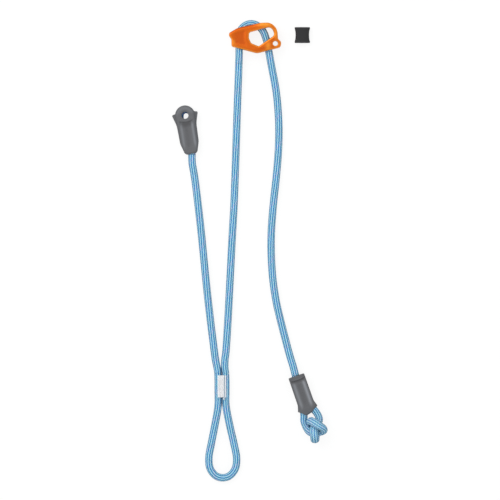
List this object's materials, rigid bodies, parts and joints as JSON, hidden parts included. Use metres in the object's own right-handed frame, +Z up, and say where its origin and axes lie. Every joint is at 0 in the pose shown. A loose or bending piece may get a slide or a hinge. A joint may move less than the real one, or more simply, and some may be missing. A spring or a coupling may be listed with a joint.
{
  "type": "adjustable twin rope lanyard",
  "caption": "Climbing rope lanyard with a fixed arm, an adjustable arm through a metal rope adjuster, a sewn tie-in loop, a moulded connector keeper and a knotted end.",
  "frame": {"origin": "on the adjuster's rear face under its friction post, on the plane the lanyard lies on", "axes": "+Z up from the plane the lanyard lies on, out of the adjuster's front face; +Y along the arms, from the tie-in loop to the adjuster; +X to the right, from the fixed arm to the tail"},
  "size_m": [0.1855, 0.5526, 0.0302],
  "materials": {
    "rope": "woven polyamide sheath, mid blue with lilac and dark teal flecks",
    "adjuster": "satin orange anodised",
    "grey_rubber": "matt moulded elastomer, warm dark grey",
    "black_rubber": "matt moulded elastomer, near black",
    "thread": "white polyester thread, close zigzag stitches"
  },
  "bodies": {
    "rope_and_tie_in": {"fixed_arm_rope": "rope", "tie_in_loop_rope": "rope", "tie_in_bartack_front": "thread", "tie_in_bartack_rear": "thread", "connector_keeper": "grey_rubber", "connector_eye_rope": "rope", "connector_eye_stitch_front": "thread", "connector_eye_stitch_rear": "thread", "adjustable_arm_rope": "rope"},
    "adjuster_carriage": {"adjuster_entry_rope": "rope"},
    "adjuster": {"adjuster_frame": "adjuster", "adjuster_bight_rope": "rope", "tail_rope": "rope"},
    "tail_end": {"end_sleeve": "grey_rubber", "knotted_end_rope": "rope", "end_eye_stitch_front": "thread", "end_eye_stitch_rear": "thread"},
    "band": {"keeper_band": "black_rubber"}
  },
  "joints": [
    {"name": "adjuster_slide", "type": "slide", "parent": "rope_and_tie_in", "child": "adjuster_carriage", "axis": [-0.0459, -0.9989, 0], "range_m": [-0.28, 0.27], "deforming": ["adjustable_arm_rope"]},
    {"name": "adjuster_tilt", "type": "hinge", "parent": "adjuster_carriage", "child": "adjuster", "pos_m": [-0.0069, -0.01335, 0.0087], "axis": [0, 0, 1], "range_deg": [-5, 25], "deforming": ["adjuster_bight_rope"]},
    {"name": "tail_slide", "type": "slide", "parent": "adjuster", "child": "tail_end", "axis": [0.0837, -0.9965, 0], "range_m": [-0.28, 0.27], "deforming": ["tail_rope"]},
    {"name": "keeper_band_slide", "type": "slide", "parent": "adjuster_carriage", "child": "band", "axis": [1, 0, 0], "range_m": [-0.012, 0.03]}
  ],
  "couplings": [
    {"joint": "tail_slide", "follows": "adjuster_slide", "ratio": 1}
  ]
}
